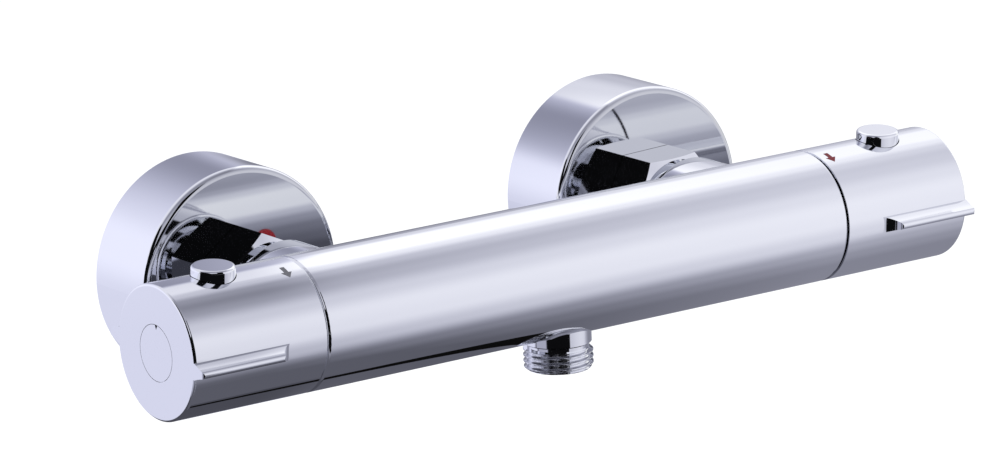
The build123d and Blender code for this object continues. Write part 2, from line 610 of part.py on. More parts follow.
# Handles: from the body's end outward, once for the flow and once for the temperature
for side, end in ENDS.items():
    plane = along_bar(side)
    up = UP["handle"]

    with BuildPart() as handle:
        # Two finger ribs with hollow flanks, which run out into the tube near the joint
        with BuildSketch(across_bar(side, HANDLE_END - RIB_LENGTH, "handle")) as rib:
            for around in (0, 180):
                with BuildSketch(mode=Mode.PRIVATE) as one_rib:
                    with BuildLine():
                        tip = BAR_RADIUS + RIB_HEIGHT
                        foot = sqrt(BAR_RADIUS**2 - (RIB_BASE / 2) ** 2)
                        upper = ThreePointArc(
                            (RIB_BASE / 2, foot),
                            (RIB_BASE * 0.33, BAR_RADIUS + RIB_HEIGHT * 0.42),
                            (RIB_CREST / 2, tip - RIB_CREST / 4),
                        )
                        ThreePointArc(upper @ 1, (0, tip), (-RIB_CREST / 2, tip - RIB_CREST / 4))
                        ThreePointArc(
                            (-RIB_CREST / 2, tip - RIB_CREST / 4),
                            (-RIB_BASE * 0.33, BAR_RADIUS + RIB_HEIGHT * 0.42),
                            (-RIB_BASE / 2, foot),
                        )
                        Line((-RIB_BASE / 2, foot), (-RIB_BASE / 2, CAVITY_RADIUS + 1))
                        Line((-RIB_BASE / 2, CAVITY_RADIUS + 1), (RIB_BASE / 2, CAVITY_RADIUS + 1))
                        Line((RIB_BASE / 2, CAVITY_RADIUS + 1), (RIB_BASE / 2, foot))
                    make_face()
                add(one_rib.sketch.rotate(Axis.Z, around))
        extrude(amount=RIB_LENGTH)
        run_out = Plane(
            origin=(side * (BODY_HALF + HANDLE_END - RIB_LENGTH), BAR_Y, BAR_Z),
            x_dir=(side, 0, 0),
            z_dir=up,
        )
        shoulder_height = BAR_RADIUS + RIB_HEIGHT - RIB_NOSE
        clear_height = BAR_RADIUS + RIB_HEIGHT + 1
        with BuildSketch(run_out) as run_out_cut:
            with BuildLine():
                slope = ThreePointArc(
                    (0, BAR_RADIUS - 0.2),
                    (RIB_RUN_OUT * 0.62, BAR_RADIUS + RIB_HEIGHT * 0.36),
                    (RIB_RUN_OUT * 0.9, shoulder_height),
                )
                nose_top = (RIB_RUN_OUT * 0.9 + RIB_NOSE, BAR_RADIUS + RIB_HEIGHT + RIB_NOSE * 0.05)
                nose_middle = (RIB_RUN_OUT * 0.9 + RIB_NOSE * 0.27, BAR_RADIUS + RIB_HEIGHT - RIB_NOSE * 0.3)
                ThreePointArc(slope @ 1, nose_middle, nose_top)
                Polyline(nose_top, (nose_top[0], clear_height), (-1, clear_height), (-1, BAR_RADIUS - 0.2), slope @ 0)
            make_face()
            end_top = (RIB_LENGTH - RIB_NOSE, BAR_RADIUS + RIB_HEIGHT + RIB_NOSE * 0.05)
            end_middle = (RIB_LENGTH - RIB_NOSE * 0.27, BAR_RADIUS + RIB_HEIGHT - RIB_NOSE * 0.3)
            end_shoulder = (RIB_LENGTH + RIB_NOSE * 0.05, shoulder_height)
            with BuildLine():
                ThreePointArc(end_top, end_middle, end_shoulder)
                Polyline(end_shoulder, (RIB_LENGTH + 1, shoulder_height), (RIB_LENGTH + 1, clear_height))
                Polyline((RIB_LENGTH + 1, clear_height), (end_top[0], clear_height), end_top)
            make_face()
            mirror(about=Plane.XZ)
        extrude(amount=RIB_BASE, both=True, mode=Mode.SUBTRACT)

        # The cup itself with its rounded rims, hub and cavity
        with BuildSketch(plane) as cup:
            with BuildLine():
                Polyline(
                    (JOINT_GAP, 0),
                    (JOINT_GAP, BAR_RADIUS),
                    (HANDLE_END, BAR_RADIUS),
                    (HANDLE_END, 0),
                    close=True,
                )
            make_face()
            joint_corner = cup.vertices().group_by(Axis.Y)[-1].sort_by(Axis.X)[0]
            fillet(joint_corner, JOINT_EDGE)
            outer_corner = cup.vertices().group_by(Axis.Y)[-1].sort_by(Axis.X)[-1]
            fillet(outer_corner, HANDLE_EDGE)
        revolve(axis=BAR_AXIS)
        bar_tube(side, JOINT_GAP, HANDLE_END - HANDLE_END_WALL, CAVITY_RADIUS, HUB_RADIUS, Mode.SUBTRACT)
        bar_tube(side, JOINT_GAP, HUB_START, HUB_RADIUS, mode=Mode.SUBTRACT)
        splines(side, HUB_START, SPINDLE_END + 1, SPLINE_CLEARANCE, Mode.SUBTRACT)
        bar_tube(side, SPINDLE_END, SCREW_SEAT, SCREW_THREAD + SCREW_CLEARANCE, mode=Mode.SUBTRACT)
        bar_tube(side, SCREW_SEAT, CAP_SEAT, SCREW_HEAD + SCREW_CLEARANCE, mode=Mode.SUBTRACT)
        bar_tube(side, CAP_SEAT, HANDLE_END, CAP_RADIUS + CAP_CLEARANCE, mode=Mode.SUBTRACT)

        # Button hole, the pocket of its flange and the spring's seat in the hub
        with BuildSketch(button_plane(side, FLANGE_TOP)):
            Circle(BUTTON_RADIUS + BUTTON_CLEARANCE)
        extrude(amount=BAR_RADIUS, mode=Mode.SUBTRACT)
        with BuildSketch(button_plane(side, HUB_RADIUS + 1)):
            Circle(BUTTON_RADIUS + BUTTON_FLANGE + BUTTON_CLEARANCE)
        extrude(amount=FLANGE_TOP + 0.1 - HUB_RADIUS - 1, mode=Mode.SUBTRACT)
        with BuildSketch(button_plane(side, SPRING_SEAT)):
            Circle(BUTTON_SPRING_RADIUS + SPRING_PLAY)
        extrude(amount=HUB_RADIUS, mode=Mode.SUBTRACT)
    save(handle.part, f"{end}_handle")

    # End cap: a flush disc with a small notch at its top and a spigot behind
    with BuildPart() as end_cap:
        bar_tube(side, CAP_SEAT, HANDLE_END, CAP_RADIUS)
        spigot = SCREW_HEAD + SCREW_CLEARANCE - RING_SQUEEZE
        bar_tube(side, CAP_SEAT - CAP_SPIGOT, CAP_SEAT, spigot, spigot - CAP_SPIGOT_WALL)
        with BuildSketch(across_bar(side, HANDLE_END, "handle")):
            with BuildLine():
                Polyline(
                    (CAP_RADIUS + CAP_CLEARANCE, -CAP_NOTCH / 2),
                    (CAP_RADIUS + CAP_CLEARANCE, CAP_NOTCH / 2),
                    (CAP_RADIUS - CAP_NOTCH, 0),
                    close=True,
                )
            make_face()
        extrude(amount=-CAP_THICKNESS / 2, mode=Mode.SUBTRACT)
    save(end_cap.part, f"{end}_end_cap")

    # Handle screw: a socket head on a long shank that reaches into the spindle
    with BuildPart() as handle_screw:
        bar_tube(side, SCREW_SEAT - SCREW_LENGTH, SCREW_SEAT, SCREW_THREAD)
        bar_tube(side, SCREW_SEAT, SCREW_SEAT + SCREW_HEAD_LENGTH, SCREW_HEAD)
        with BuildSketch(across_bar(side, SCREW_SEAT + SCREW_HEAD_LENGTH)):
            RegularPolygon(SCREW_KEY / 2, 6, major_radius=False)
        extrude(amount=-SCREW_HEAD_LENGTH / 2, mode=Mode.SUBTRACT)
    save(handle_screw.part, f"{end}_handle_screw")

    # Push button: a cap with a retaining flange and an arm that ends in the stop's nose
    with BuildPart() as button:
        with BuildSketch(button_plane(side, BUTTON_FOOT)):
            Circle(BUTTON_RADIUS)
        extrude(amount=BUTTON_TOP - BUTTON_FOOT)
        fillet(button.faces().sort_by(Axis.Z)[-1].edges(), BUTTON_EDGE)
        with BuildSketch(button_plane(side, BUTTON_FOOT)):
            Circle(BUTTON_RADIUS + BUTTON_FLANGE)
        extrude(amount=BUTTON_FLANGE_THICKNESS)
        arm_reach = BUTTON_REACH - NOSE_START
        with BuildSketch(button_plane(side, BUTTON_FOOT)):
            with Locations((-(arm_reach + BUTTON_RADIUS) / 2, 0)):
                Rectangle(arm_reach - BUTTON_RADIUS, ARM_WIDTH)
            with Locations((-BUTTON_RADIUS, 0)):
                Rectangle(2, ARM_WIDTH)
        extrude(amount=-ARM_THICKNESS)
        with BuildSketch(button_plane(side, BUTTON_FOOT - ARM_THICKNESS)):
            with Locations((NOSE_LENGTH / 2 - arm_reach, 0)):
                Rectangle(NOSE_LENGTH, ARM_WIDTH)
        extrude(amount=NOSE_HEIGHT)
        with BuildSketch(button_plane(side, BUTTON_FOOT)):
            Circle(BUTTON_SPRING_RADIUS + SPRING_PLAY)
        extrude(amount=SPRING_POCKET_DEPTH, mode=Mode.SUBTRACT)
    save(button.part, f"{end}_button")

    spring_foot = button_plane(side, SPRING_SEAT + SPRING_WIRE).origin
    spring_length = SPRING_TOP - SPRING_SEAT - 2 * SPRING_WIRE
    button_spring = coil(
        spring_foot,
        up,
        BUTTON_SPRING_RADIUS,
        SPRING_WIRE,
        spring_length,
        BUTTON_SPRING_TURNS,
    )
    save(button_spring, f"{end}_button_spring")

    # Stop ring: pressed on the cartridge's neck, with a rim that is open where the nose sweeps
    sweep_start = -STOP_MARGIN if end == "flow" else -COLDEST_TURN - STOP_MARGIN
    sweep_end = FLOW_RANGE + STOP_MARGIN if end == "flow" else HOTTEST_TURN + STOP_MARGIN
    with BuildPart() as stop_ring:
        disc_end = STOP_RING_START + STOP_RING_DISC
        bar_tube(side, STOP_RING_START, disc_end, STOP_RING_OUTER, NECK_OUTER)
        bar_tube(side, disc_end, STOP_RIM_END, STOP_RING_OUTER, STOP_RING_OUTER - STOP_RING_WALL)
        reach = 2 * STOP_RING_OUTER
        turn_sense = side
        with BuildSketch(across_bar(side, disc_end, "handle")) as window:
            steps = 6
            fan = [(0.0, 0.0)]
            for step in range(steps + 1):
                angle = radians(turn_sense * (sweep_start + (sweep_end - sweep_start) * step / steps))
                fan.append((reach * cos(angle), reach * sin(angle)))
            with BuildLine():
                Polyline(*fan, close=True)
            make_face()
        extrude(amount=STOP_RING_RIM, mode=Mode.SUBTRACT)
    save(stop_ring.part, f"{end}_stop_ring")

# Flow cartridge: a brass housing with two ceramic discs under its spindle
side = -1
plane = along_bar(side)
housing_start = -CHAMBER_DEPTH + DISC_SEAL_THICKNESS
fixed_disc_end = housing_start + DISC_THICKNESS
turning_disc_start = fixed_disc_end + RING_SQUEEZE
turning_disc_end = turning_disc_start + DISC_THICKNESS
foot_end = turning_disc_end + FOOT_THICKNESS
flow_seal_place = -FLOW_THREAD_LENGTH - 2 * RING_SECTION - 1
with BuildPart() as flow_cartridge:
    bar_tube(side, housing_start, -FLOW_THREAD_LENGTH, FLOW_HOUSING)
    bar_tube(side, flow_seal_place - 2, 0, CHAMBER_RADIUS - THREAD_CLEARANCE)
    with BuildSketch(across_bar(side, 0)):
        RegularPolygon(FLOW_HEX / 2, 6, major_radius=False)
    extrude(amount=FLOW_HEX_THICKNESS)
    bar_tube(side, FLOW_HEX_THICKNESS, NECK_END, NECK_OUTER)
    ring_groove(plane, BAR_AXIS, flow_seal_place, CHAMBER_RADIUS - THREAD_CLEARANCE)
    bar_tube(side, housing_start, foot_end + 1, FLOW_BORE, mode=Mode.SUBTRACT)
    bar_tube(side, foot_end, NECK_END, SPINDLE_RADIUS + RUNNING, mode=Mode.SUBTRACT)
    with BuildSketch(Plane(origin=across_bar(side, foot_end - FOOT_THICKNESS / 2).origin, z_dir=(0, 1, 0))):
        Circle(FOOT_THICKNESS * 0.9)
    extrude(amount=BAR_RADIUS, both=True, mode=Mode.SUBTRACT)
save(flow_cartridge.part, "flow_cartridge")


def ceramic_disc(start, turn):
    """A ceramic disc with two opposite water windows."""
    with BuildPart() as disc:
        bar_tube(-1, start, start + DISC_THICKNESS, FLOW_BORE - RUNNING)
        with BuildSketch(across_bar(-1, start)):
            with PolarLocations(FLOW_BORE * 0.55, 2, start_angle=turn):
                Circle(DISC_WINDOW)
        extrude(amount=DISC_THICKNESS, mode=Mode.SUBTRACT)
    return disc.part


save(ceramic_disc(housing_start, 0), "flow_fixed_disc")
save(ceramic_disc(turning_disc_start, 90), "flow_turning_disc")

with BuildPart() as flow_disc_seal:
    bar_tube(side, -CHAMBER_DEPTH, housing_start, FLOW_BORE - RUNNING, MIXED_RADIUS)
save(flow_disc_seal.part, "flow_disc_seal")

with BuildPart() as flow_cartridge_seal:
    rubber_ring(plane, BAR_AXIS, flow_seal_place, CHAMBER_RADIUS - THREAD_CLEARANCE)
save(flow_cartridge_seal.part, "flow_cartridge_seal")

with BuildPart() as flow_spindle:
    bar_tube(side, turning_disc_end, foot_end - RUNNING, FOOT_RADIUS)
    bar_tube(side, foot_end - RUNNING, SPLINE_START, SPINDLE_RADIUS)
    splines(side, SPLINE_START, SPINDLE_END)
    bar_tube(side, TAPPED_START, SPINDLE_END, SCREW_THREAD, mode=Mode.SUBTRACT)
save(flow_spindle.part, "flow_spindle")

# Mixing cartridge: a housing with hot and cold port grooves, held by a ring nut
side = 1
plane = along_bar(side)
housing_outer = MIXER_BORE - MIXER_CLEARANCE
nose_outer = NOSE_BORE - MIXER_CLEARANCE
nose_start = -NOSE_BORE_DEPTH + SEAT_GAP
shoulder = -MIXER_BORE_DEPTH + SEAT_GAP
cavity_start = shoulder + RETURN_SPRING_WIRE
cavity_end = -RING_NUT_DEPTH - CARTRIDGE_LID
nose_inner = MIXED_RADIUS + MIXED_STEP
nose_middle = (nose_start + shoulder) / 2
between_ports = -(HOT_PORT + COLD_PORT) / 2
outside_ports = -COLD_PORT + PORT_WIDTH
mixer_seal_places = [nose_middle, between_ports, outside_ports]
mixer_seal_surfaces = [nose_outer, housing_outer, housing_outer]
with BuildPart() as mixing_cartridge:
    bar_tube(side, nose_start, shoulder, nose_outer)
    bar_tube(side, shoulder, -RING_NUT_DEPTH, housing_outer)
    bar_tube(side, -RING_NUT_DEPTH, NECK_END, NECK_OUTER)
    for port in (HOT_PORT, COLD_PORT):
        groove_start = -port - PORT_WIDTH / 2
        groove_floor = housing_outer - PORT_GROOVE_DEPTH
        bar_tube(side, groove_start, groove_start + PORT_WIDTH, MIXER_BORE, groove_floor, Mode.SUBTRACT)
        with BuildSketch(Plane(origin=across_bar(side, -port).origin, z_dir=(0, 0, 1))) as window:
            Circle(PORT_WINDOW)
        for turn in range(PORT_COUNT // 2):
            spoke = window.sketch.rotate(BAR_AXIS, turn * 360 / PORT_COUNT)
            extrude(spoke, amount=BAR_RADIUS, both=True, mode=Mode.SUBTRACT)
    for place, surface in zip(mixer_seal_places, mixer_seal_surfaces):
        ring_groove(plane, BAR_AXIS, place, surface)
    bar_tube(side, nose_start, cavity_start, nose_inner, mode=Mode.SUBTRACT)
    bar_tube(side, cavity_start, cavity_end, MIXER_CAVITY, mode=Mode.SUBTRACT)
    bar_tube(side, cavity_end, NECK_END, SPINDLE_RADIUS + RUNNING, mode=Mode.SUBTRACT)
save(mixing_cartridge.part, "mixing_cartridge")

with BuildPart() as mixing_cartridge_seals:
    for place, surface in zip(mixer_seal_places, mixer_seal_surfaces):
        rubber_ring(plane, BAR_AXIS, place, surface)
save(mixing_cartridge_seals.part, "mixing_cartridge_seals")

with BuildPart() as cartridge_ring_nut:
    bar_tube(side, -RING_NUT_DEPTH, RING_NUT_PROUD, RING_NUT_RADIUS, NECK_OUTER + THREAD_CLEARANCE)
    with BuildSketch(across_bar(side, RING_NUT_PROUD)):
        with PolarLocations(RING_NUT_RADIUS, RING_NUT_SLOTS):
            Rectangle(RING_NUT_SLOT, RING_NUT_SLOT)
    extrude(amount=-RING_NUT_PROUD, mode=Mode.SUBTRACT)
save(cartridge_ring_nut.part, "cartridge_ring_nut")

# Temperature spindle: its inner screw moves the sleeve, the wax element and the slide along the bar
collar_start = cavity_end - SPINDLE_COLLAR
screw_start = collar_start - SPINDLE_SCREW_LENGTH
with BuildPart() as temperature_spindle:
    bar_tube(side, screw_start, collar_start, SPINDLE_SCREW)
    bar_tube(side, collar_start, cavity_end - RUNNING, SPINDLE_SCREW + SPINDLE_COLLAR_RIM)
    bar_tube(side, cavity_end - RUNNING, SPLINE_START, SPINDLE_RADIUS)
    splines(side, SPLINE_START, SPINDLE_END)
    bar_tube(side, TAPPED_START, SPINDLE_END, SCREW_THREAD, mode=Mode.SUBTRACT)
save(temperature_spindle.part, "temperature_spindle")

sleeve_end = collar_start - SLEEVE_GAP
sleeve_start = screw_start - SLEEVE_OVERTRAVEL
with BuildPart() as overload_sleeve:
    bar_tube(side, sleeve_start, sleeve_end, SLEEVE_RADIUS, SPINDLE_SCREW + RUNNING)
    bar_tube(side, sleeve_start, sleeve_start + SLEEVE_FLOOR, SLEEVE_RADIUS)
save(overload_sleeve.part, "overload_sleeve")

slide_start = -HOT_PORT - PORT_WIDTH / 3
web_start = sleeve_start - SLIDE_WEB
with BuildPart() as mixing_slide:
    bar_tube(side, slide_start, sleeve_start, SLIDE_RADIUS, SLIDE_RADIUS - SLIDE_WALL)
    bar_tube(side, web_start, sleeve_start, SLIDE_RADIUS, WAX_RADIUS)
    with BuildSketch(across_bar(side, web_start)):
        with PolarLocations((SLIDE_RADIUS - SLIDE_WALL + WAX_RADIUS) / 2, PORT_COUNT):
            Circle(SLIDE_HOLE)
    extrude(amount=SLIDE_WEB, mode=Mode.SUBTRACT)
save(mixing_slide.part, "mixing_slide")

with BuildPart() as wax_element:
    bar_tube(side, sleeve_start - WAX_LENGTH, sleeve_start, WAX_RADIUS - WAX_STEP)
    bar_tube(side, sleeve_start - WAX_HEAD, sleeve_start, WAX_RADIUS)
    fillet(wax_element.faces().sort_by(Axis.X)[0].edges(), WAX_NOSE)
save(wax_element.part, "wax_element")

spring_foot = cavity_start + RETURN_SPRING_WIRE + SEAT_GAP
spring_head = web_start - RETURN_SPRING_ROOM - RETURN_SPRING_WIRE
return_spring = coil(
    across_bar(side, spring_foot).origin,
    (1, 0, 0),
    (nose_inner + SLIDE_RADIUS - SLIDE_WALL) / 2,
    RETURN_SPRING_WIRE,
    spring_head - spring_foot,
    RETURN_SPRING_TURNS,
)
save(return_spring, "return_spring")
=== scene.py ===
import json
import math

import bpy
import numpy as np
from mathutils import Matrix, Vector


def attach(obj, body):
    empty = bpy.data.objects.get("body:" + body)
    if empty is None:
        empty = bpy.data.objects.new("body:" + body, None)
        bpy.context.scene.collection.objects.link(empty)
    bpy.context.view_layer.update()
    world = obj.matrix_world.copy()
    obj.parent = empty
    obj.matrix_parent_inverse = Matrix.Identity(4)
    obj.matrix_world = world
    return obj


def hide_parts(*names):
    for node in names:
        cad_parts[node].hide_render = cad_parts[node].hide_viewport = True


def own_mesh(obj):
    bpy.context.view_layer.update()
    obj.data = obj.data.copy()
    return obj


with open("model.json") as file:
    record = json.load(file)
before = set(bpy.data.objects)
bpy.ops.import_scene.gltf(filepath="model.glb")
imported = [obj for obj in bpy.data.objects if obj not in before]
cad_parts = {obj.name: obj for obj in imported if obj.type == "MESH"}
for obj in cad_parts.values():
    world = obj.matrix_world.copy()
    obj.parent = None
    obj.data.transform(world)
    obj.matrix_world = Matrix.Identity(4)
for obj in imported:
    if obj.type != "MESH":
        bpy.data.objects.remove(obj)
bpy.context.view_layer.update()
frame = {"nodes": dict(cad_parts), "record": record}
nodes = frame["nodes"]

# Sizes in metres, in the mixer's frame: X along the bar, +Y into the wall, Z up
BAR_Y = -0.0814
BAR_Z = -0.0075
ROSETTE_DEPTH = 0.0268

# Camera, fitted to the photograph's view
IMAGE_WIDTH = 1000
VIEW_AZIMUTH = 34.9455
VIEW_ELEVATION = 13.7655
VIEW_ROLL = -2.2244
VIEW_DISTANCE = 2.01296
VIEW_FOCAL_PIXELS = 6846.58
VIEW_TARGET = Vector((-0.019469, BAR_Y, 0.005935))
SENSOR_WIDTH = 36.0

# Studio: a pale floor below, and a light tent round the bar that only reflections see
FLOOR_HEIGHT = -0.36
FLOOR_SIZE = 12.0
FLOOR_LIFT = 0.35
WORLD_STRENGTH = 0.85
KEY_PLACE = Vector((-0.5, -1.1, 1.5))
KEY_SIZE = (1.6, 1.0)
KEY_WATTS = 14.0
TENT_RADIUS = 0.30
TENT_LENGTH = 2.4

# Edges between faces that meet at more than this stay crisp
CRISP_ANGLE = math.radians(32)


def add_mesh(name, points, faces, smooth=True, caps=()):
    """A mesh object at the origin from an array of points, an array of quads and any other faces as caps."""
    mesh = bpy.data.meshes.new(name)
    mesh.from_pydata(points.tolist(), [], faces.tolist() + list(caps))
    mesh.polygons.foreach_set("use_smooth", np.full(len(mesh.polygons), smooth))
    mesh.update()
    piece = bpy.data.objects.new(name, mesh)
    bpy.context.scene.collection.objects.link(piece)
    return piece


def grid_faces(rows, columns, ring=False):
    """Quads between neighbouring points of a grid stored row by row. A ring closes both ways, as a tyre
    does."""
    down = rows if ring else rows - 1
    across = columns if ring else columns - 1
    row, column = np.meshgrid(np.arange(down), np.arange(across), indexing="ij")
    beside = (column + 1) % columns
    below = (row + 1) % rows
    corners = [row * columns + column, row * columns + beside]
    corners += [below * columns + beside, below * columns + column]
    return np.stack(corners, axis=-1).reshape(-1, 4)


def outward(points, faces):
    """The faces, turned over if the volume they enclose comes out negative."""
    a, b, c, d = (points[faces[:, i]] for i in range(4))
    volume = np.einsum("ij,ij->", np.cross(a, b), c) + np.einsum("ij,ij->", np.cross(a, c), d)
    return faces if volume > 0 else faces[:, ::-1]


def finish_piece(piece, body, material):
    """Crisp edges, a finish, and the body that the piece moves with."""
    piece.data.set_sharp_from_angle(angle=CRISP_ANGLE)
    piece.data.materials.append(material)
    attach(piece, body)


def surface_material(name, color, metallic=0.0, roughness=0.4):
    """A material with one Principled shader; returns it with its node tree and that shader."""
    material = bpy.data.materials.new(name)
    material.use_nodes = True
    tree = material.node_tree
    shader = tree.nodes["Principled BSDF"]
    shader.inputs["Base Color"].default_value = (*color, 1.0)
    shader.inputs["Metallic"].default_value = metallic
    shader.inputs["Roughness"].default_value = roughness
    return material, tree, shader


def noise(tree, scale, detail=3.0, stretch=(1.0, 1.0, 1.0)):
    """Noise on Object coordinates, with features about 1/scale metres wide, drawn out by stretch."""
    coordinates = tree.nodes.new("ShaderNodeTexCoord")
    mapping = tree.nodes.new("ShaderNodeMapping")
    mapping.inputs["Scale"].default_value = stretch
    texture = tree.nodes.new("ShaderNodeTexNoise")
    texture.inputs["Scale"].default_value = scale
    texture.inputs["Detail"].default_value = detail
    tree.links.new(coordinates.outputs["Object"], mapping.inputs["Vector"])
    tree.links.new(mapping.outputs["Vector"], texture.inputs["Vector"])
    return texture.outputs["Fac"]


def remap(tree, value, low, high, start=0.35, end=0.65):
    """Value from start..end to low..high, clamped."""
    node = tree.nodes.new("ShaderNodeMapRange")
    node.inputs["From Min"].default_value = start
    node.inputs["From Max"].default_value = end
    node.inputs["To Min"].default_value = low
    node.inputs["To Max"].default_value = high
    tree.links.new(value, node.inputs["Value"])
    return node.outputs["Result"]


def two_tone(tree, value, first, second, shader):
    """The shader's colour runs from first to second as value goes from 0.3 to 0.7."""
    ramp = tree.nodes.new("ShaderNodeValToRGB")
    ramp.color_ramp.elements[0].position = 0.3
    ramp.color_ramp.elements[0].color = (*first, 1.0)
    ramp.color_ramp.elements[1].position = 0.7
    ramp.color_ramp.elements[1].color = (*second, 1.0)
    tree.links.new(value, ramp.inputs["Fac"])
    tree.links.new(ramp.outputs["Color"], shader.inputs["Base Color"])


def bump(tree, shader, height, distance):
    """A bump of that height field, distance metres deep."""
    node = tree.nodes.new("ShaderNodeBump")
    node.inputs["Strength"].default_value = 1.0
    node.inputs["Distance"].default_value = distance
    tree.links.new(height, node.inputs["Height"])
    tree.links.new(node.outputs["Normal"], shader.inputs["Normal"])


# Chrome plate, and a darker tone painted on the flat face of a rosette as shade that dims its reflections.
# The shaded face ends between two depths behind the face
CHROME_TONE = (0.86, 0.87, 0.90)
ROSETTE_FACE_PAINTED_SHADE = (0.60, 0.61, 0.64)
ROSETTE_FACE_DEPTHS = (0.0002, 0.0008)


def polished_chrome(name):
    """Bright chrome plate: a slow polishing wave, and a very fine haze that varies over the surface."""
    material, tree, shader = surface_material(name, CHROME_TONE, 1.0)
    haze = noise(tree, 60.0, 4.0)
    tree.links.new(remap(tree, haze, 0.025, 0.055), shader.inputs["Roughness"])
    bump(tree, shader, noise(tree, 45.0, 1.0), 0.000012)
    return material


def rosette_chrome_painted_shade():
    """Chrome plate with painted shade: the rosette's flat face has a darker tone than its side, which dims
    the face's reflections.
    """
    material = polished_chrome("rosette_chrome_painted_shade")
    tree = material.node_tree
    coordinates = tree.nodes.new("ShaderNodeTexCoord")
    split = tree.nodes.new("ShaderNodeSeparateXYZ")
    tree.links.new(coordinates.outputs["Object"], split.inputs["Vector"])
    start, end = (depth - ROSETTE_DEPTH for depth in ROSETTE_FACE_DEPTHS)
    side = remap(tree, split.outputs["Y"], 0.0, 1.0, start, end)
    # Painted shade: the flat face gets the darker tone and the side keeps the plain chrome tone
    two_tone(tree, side, ROSETTE_FACE_PAINTED_SHADE, CHROME_TONE, tree.nodes["Principled BSDF"])
    return material


def machined_metal(name, light, dark, roughness):
    """Turned metal: two close tones, fine rings of tool marks and a soft shine."""
    material, tree, shader = surface_material(name, light, 1.0)
    stain = noise(tree, 120.0, 4.0)
    two_tone(tree, stain, dark, light, shader)
    tree.links.new(remap(tree, stain, roughness * 1.25, roughness * 0.8), shader.inputs["Roughness"])
    bump(tree, shader, noise(tree, 900.0, 3.0, (6.0, 1.0, 1.0)), 0.00003)
    return material


def moulded(name, light, dark, roughness, grain):
    """Moulded plastic, rubber or pressed ceramic: a faint cloud of tone over a fine grain."""
    material, tree, shader = surface_material(name, light, 0.0, roughness)
    two_tone(tree, noise(tree, 200.0, 3.0), dark, light, shader)
    pores = noise(tree, 4000.0, 2.0)
    tree.links.new(remap(tree, pores, roughness * 0.85, roughness * 1.15), shader.inputs["Roughness"])
    bump(tree, shader, pores, grain)
    return material


# Finishes, by the record's material slots
FINISHES = {
    "chrome": polished_chrome("polished_chrome"),
    "brass": machined_metal("machined_brass", (0.83, 0.66, 0.36), (0.70, 0.52, 0.26), 0.28),
    "stainless_steel": machined_metal("bright_steel", (0.68, 0.68, 0.70), (0.52, 0.52, 0.54), 0.25),
    "copper": machined_metal("drawn_copper", (0.80, 0.46, 0.32), (0.60, 0.31, 0.20), 0.32),
    "black_rubber": moulded("seal_rubber", (0.035, 0.035, 0.04), (0.02, 0.02, 0.022), 0.55, 0.00002),
    "white_plastic": moulded("acetal_plastic", (0.84, 0.84, 0.82), (0.76, 0.76, 0.73), 0.42, 0.00001),
    "red_plastic": moulded("red_plastic", (0.70, 0.03, 0.04), (0.56, 0.02, 0.03), 0.22, 0.000004),
    "ceramic_disc": moulded("lapped_ceramic", (0.92, 0.91, 0.87), (0.85, 0.84, 0.79), 0.16, 0.000003),
}
ROSETTE_SHADED_CHROME = rosette_chrome_painted_shade()
for part in frame["record"]["subparts"]:
    for place in nodes[part["node"]].material_slots:
        plate = part["node"].endswith("rosette")
        # Rosettes get the chrome with painted shade on their flat face
        place.material = ROSETTE_SHADED_CHROME if plate else FINISHES[part["material_slot"]]


def direct_rays(tree):
    """1 for camera, glossy and transmission rays, and 0 for the rest."""
    path = tree.nodes.new("ShaderNodeLightPath")
    seen = path.outputs["Is Camera Ray"]
    for ray in ("Is Glossy Ray", "Is Transmission Ray"):
        either = tree.nodes.new("ShaderNodeMath")
        either.operation = "MAXIMUM"
        tree.links.new(seen, either.inputs[0])
        tree.links.new(path.outputs[ray], either.inputs[1])
        seen = either.outputs["Value"]
    return seen


def studio_world():
    """White where the camera and the metal see it, and an even soft light for everything else."""
    world = bpy.data.worlds.new("studio_world")
    bpy.context.scene.world = world
    world.use_nodes = True
    tree = world.node_tree
    even = tree.nodes["Background"]
    even.inputs["Color"].default_value = (0.97, 0.98, 1.0, 1.0)
    even.inputs["Strength"].default_value = WORLD_STRENGTH
    white = tree.nodes.new("ShaderNodeBackground")
    white.inputs["Color"].default_value = (1.0, 1.0, 1.0, 1.0)
    mix = tree.nodes.new("ShaderNodeMixShader")
    tree.links.new(direct_rays(tree), mix.inputs["Fac"])
    tree.links.new(even.outputs["Background"], mix.inputs[1])
    tree.links.new(white.outputs["Background"], mix.inputs[2])
    tree.links.new(mix.outputs["Shader"], tree.nodes["World Output"].inputs["Surface"])


def studio_floor():
    """A pale flat floor below the mixer. It looks white and still takes the mixer's shadow."""
    half = FLOOR_SIZE / 2
    corners = np.array([(-half, -half), (half, -half), (half, half), (-half, half)])
    points = np.column_stack([corners, np.full(4, FLOOR_HEIGHT)])
    floor = add_mesh("studio_floor", points, np.array([[0, 1, 2, 3]]))
    material, tree, shader = surface_material("pale_floor", (0.80, 0.80, 0.80), 0.0, 0.9)
    strength = tree.nodes.new("ShaderNodeMath")
    strength.operation = "MULTIPLY"
    strength.inputs[1].default_value = FLOOR_LIFT
    tree.links.new(direct_rays(tree), strength.inputs[0])
    lift = tree.nodes.new("ShaderNodeEmission")
    tree.links.new(strength.outputs["Value"], lift.inputs["Strength"])
    both = tree.nodes.new("ShaderNodeAddShader")
    tree.links.new(shader.outputs["BSDF"], both.inputs[0])
    tree.links.new(lift.outputs["Emission"], both.inputs[1])
    tree.links.new(both.outputs["Shader"], tree.nodes["Material Output"].inputs["Surface"])
    floor.data.materials.append(material)


# The tent's bands: how bright it is at an angle round the bar, from straight up (0) over the front (90) to
# straight down (180)
TENT_BANDS = np.array([
    (-180, 0.175),
    (-130, 0.17),
    (-110, 0.27),
    (-90, 0.36),
    (-73, 0.55),
    (-61, 0.82),
    (-50, 1.12),
    (-25, 1.15),
    (-14, 0.96),
    (-2, 0.70),
    (11, 0.60),
    (23, 0.63),
    (47, 0.80),
    (71, 0.92),
    (95, 0.89),
    (119, 0.70),
    (143, 0.33),
    (160, 0.23),
    (180, 0.175),
])

